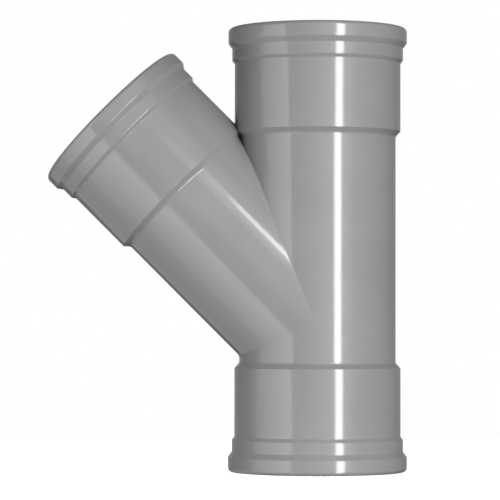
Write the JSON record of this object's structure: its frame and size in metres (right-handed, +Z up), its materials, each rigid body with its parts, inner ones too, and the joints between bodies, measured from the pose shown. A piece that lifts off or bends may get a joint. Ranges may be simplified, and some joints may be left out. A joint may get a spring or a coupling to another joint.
{
  "type": "lateral wye fitting",
  "caption": "Equal 45 degree drain wye in grey plastic, with a straight run, a slanted branch and push-fit sockets that hold rubber lip seals.",
  "frame": {"origin": "centre of the pipe stop in the run's lower socket, where the end of the pipe seats", "axes": "+Z up along the run to its upper socket; the branch rises at 45 degrees towards -X; Y is across"},
  "size_m": [0.2531, 0.1258, 0.3118],
  "materials": {
    "grey_plastic": "glossy moulded grey plastic, the same colour all through",
    "black_rubber": "matt black moulded rubber"
  },
  "bodies": {
    "root": {"fitting_body": "grey_plastic", "seal_ring_bottom": "black_rubber", "seal_ring_top": "black_rubber", "seal_ring_branch": "black_rubber"}
  },
  "joints": []
}
